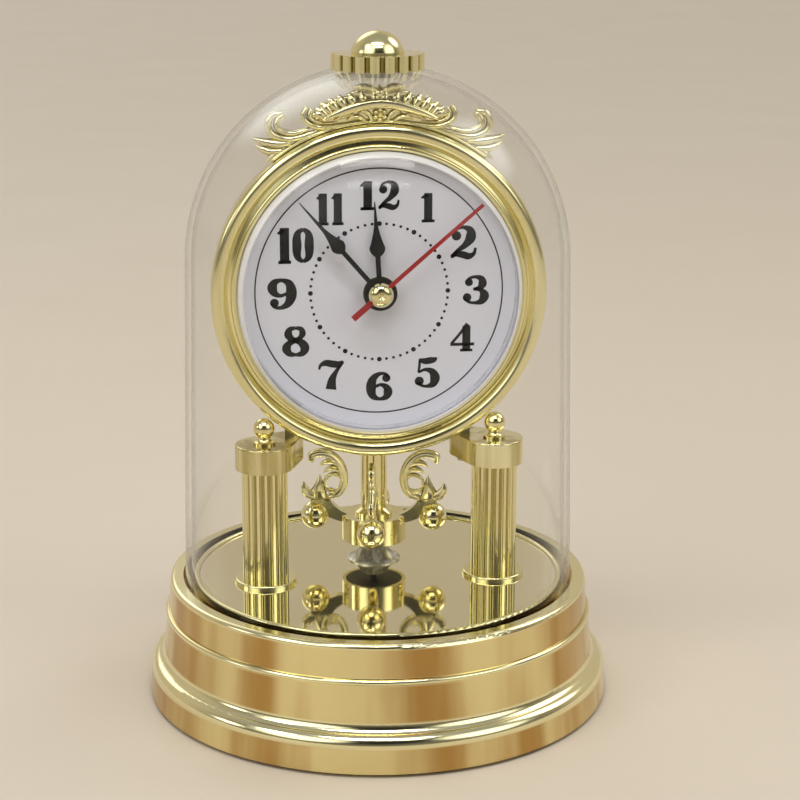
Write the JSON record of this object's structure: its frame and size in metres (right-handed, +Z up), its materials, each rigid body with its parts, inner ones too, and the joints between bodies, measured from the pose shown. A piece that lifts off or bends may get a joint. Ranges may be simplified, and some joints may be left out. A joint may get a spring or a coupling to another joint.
{
  "type": "desk pendulum clock",
  "caption": "Round-dial desk clock on fluted columns with a turning pendulum, on a stepped gold base with a mirror plate, under a clear lift-off dome.",
  "frame": {"origin": "middle of the footprint at the underside of the feet", "axes": "+Z up, the dial faces -Y, +X to the viewer's right"},
  "size_m": [0.152, 0.152, 0.2166],
  "materials": {
    "gold_plated": "bright gold plating on plastic",
    "brass": "polished",
    "mirror": "mirror with a gold tint",
    "clear_dome": "clear and polished",
    "clear_lens": "clear and polished",
    "dial_white": "satin print",
    "hand_black": "satin",
    "hand_red": "satin",
    "black_plastic": "fine grain",
    "wheel_plastic": "moulded",
    "steel": "plated",
    "copper": "enamelled wire",
    "board_green": "solder mask",
    "battery_wrap": "gloss wrap",
    "rubber": "matt"
  },
  "bodies": {
    "base": {"base_shell": "gold_plated", "plate_ring": "gold_plated", "column_left": "gold_plated", "column_right": "gold_plated", "column_cap_left": "gold_plated", "column_cap_right": "gold_plated", "case_drum": "gold_plated", "bezel": "gold_plated", "crest": "gold_plated", "cap_finials": "brass", "dial_nut": "brass", "mirror_plate": "mirror", "lens": "clear_lens", "dial": "dial_white", "bottom_cover": "black_plastic", "back_cover": "black_plastic", "movement_front": "black_plastic", "movement_rear": "black_plastic", "drive_housing": "black_plastic", "drive_lid": "black_plastic", "train_bridge": "wheel_plastic", "guide_bell": "steel", "cover_screws": "steel", "column_screws": "steel", "back_screws": "steel", "case_screws": "steel", "stator": "steel", "contact_plus": "steel", "contact_minus": "steel", "motor_coil": "copper", "drive_coil": "copper", "circuit_board": "board_green", "battery": "battery_wrap", "rubber_feet": "rubber", "dial_washer": "rubber"},
    "second": {"second_wheel": "wheel_plastic", "second_hand": "hand_red", "hand_button": "brass"},
    "minute": {"centre_wheel": "wheel_plastic", "minute_hand": "hand_black"},
    "hour": {"hour_wheel": "wheel_plastic", "hour_hand": "hand_black"},
    "third": {"third_wheel": "wheel_plastic"},
    "fifth": {"fifth_wheel": "wheel_plastic"},
    "rotor": {"motor_rotor": "wheel_plastic"},
    "motion_work": {"minute_wheel": "wheel_plastic"},
    "setting": {"setting_knob": "black_plastic"},
    "pendulum": {"pendulum_shaft": "brass", "drive_magnet": "steel", "pendulum_hub": "gold_plated", "hub_disc": "black_plastic", "pendulum_balls": "brass", "pendulum_scroll_right": "gold_plated", "pendulum_scroll_back": "gold_plated", "pendulum_scroll_left": "gold_plated", "pendulum_scroll_front": "gold_plated"},
    "dome": {"dome": "clear_dome", "finial_disc": "gold_plated", "finial_knob": "gold_plated", "dome_screw": "steel"}
  },
  "joints": [
    {"name": "second_hand_turn", "type": "hinge", "parent": "base", "child": "second", "pos_m": [0, 0, 0.13472], "axis": [0, 1, 0], "continuous": true},
    {"name": "minute_hand_turn", "type": "hinge", "parent": "base", "child": "minute", "pos_m": [0, 0, 0.13472], "axis": [0, 1, 0], "continuous": true},
    {"name": "hour_hand_turn", "type": "hinge", "parent": "base", "child": "hour", "pos_m": [0, 0, 0.13472], "axis": [0, 1, 0], "continuous": true},
    {"name": "third_wheel_turn", "type": "hinge", "parent": "base", "child": "third", "pos_m": [0.00405, 0, 0.14174], "axis": [0, 1, 0], "continuous": true},
    {"name": "fifth_wheel_turn", "type": "hinge", "parent": "base", "child": "fifth", "pos_m": [-0.00736, 0, 0.13897], "axis": [0, 1, 0], "continuous": true},
    {"name": "rotor_turn", "type": "hinge", "parent": "base", "child": "rotor", "pos_m": [-0.00998, 0, 0.14616], "axis": [0, 1, 0], "continuous": true},
    {"name": "minute_wheel_turn", "type": "hinge", "parent": "base", "child": "motion_work", "pos_m": [0.00601, 0, 0.13253], "axis": [0, 1, 0], "continuous": true},
    {"name": "setting_knob_turn", "type": "hinge", "parent": "base", "child": "setting", "pos_m": [0.01278, 0, 0.13007], "axis": [0, 1, 0], "continuous": true},
    {"name": "pendulum_turn", "type": "hinge", "parent": "base", "child": "pendulum", "pos_m": [0, 0.012, 0.05], "axis": [0, 0, 1], "range_deg": [-180, 180]},
    {"name": "dome_lift", "type": "slide", "parent": "base", "child": "dome", "axis": [0, 0, 1], "range_m": [0, 0.18]}
  ],
  "couplings": [
    {"joint": "minute_hand_turn", "follows": "second_hand_turn", "ratio": 0.016667},
    {"joint": "hour_hand_turn", "follows": "second_hand_turn", "ratio": 0.0013889},
    {"joint": "third_wheel_turn", "follows": "second_hand_turn", "ratio": -0.125},
    {"joint": "fifth_wheel_turn", "follows": "second_hand_turn", "ratio": -4},
    {"joint": "rotor_turn", "follows": "second_hand_turn", "ratio": 30},
    {"joint": "minute_wheel_turn", "follows": "second_hand_turn", "ratio": -0.0055556},
    {"joint": "setting_knob_turn", "follows": "second_hand_turn", "ratio": 0.011111}
  ]
}
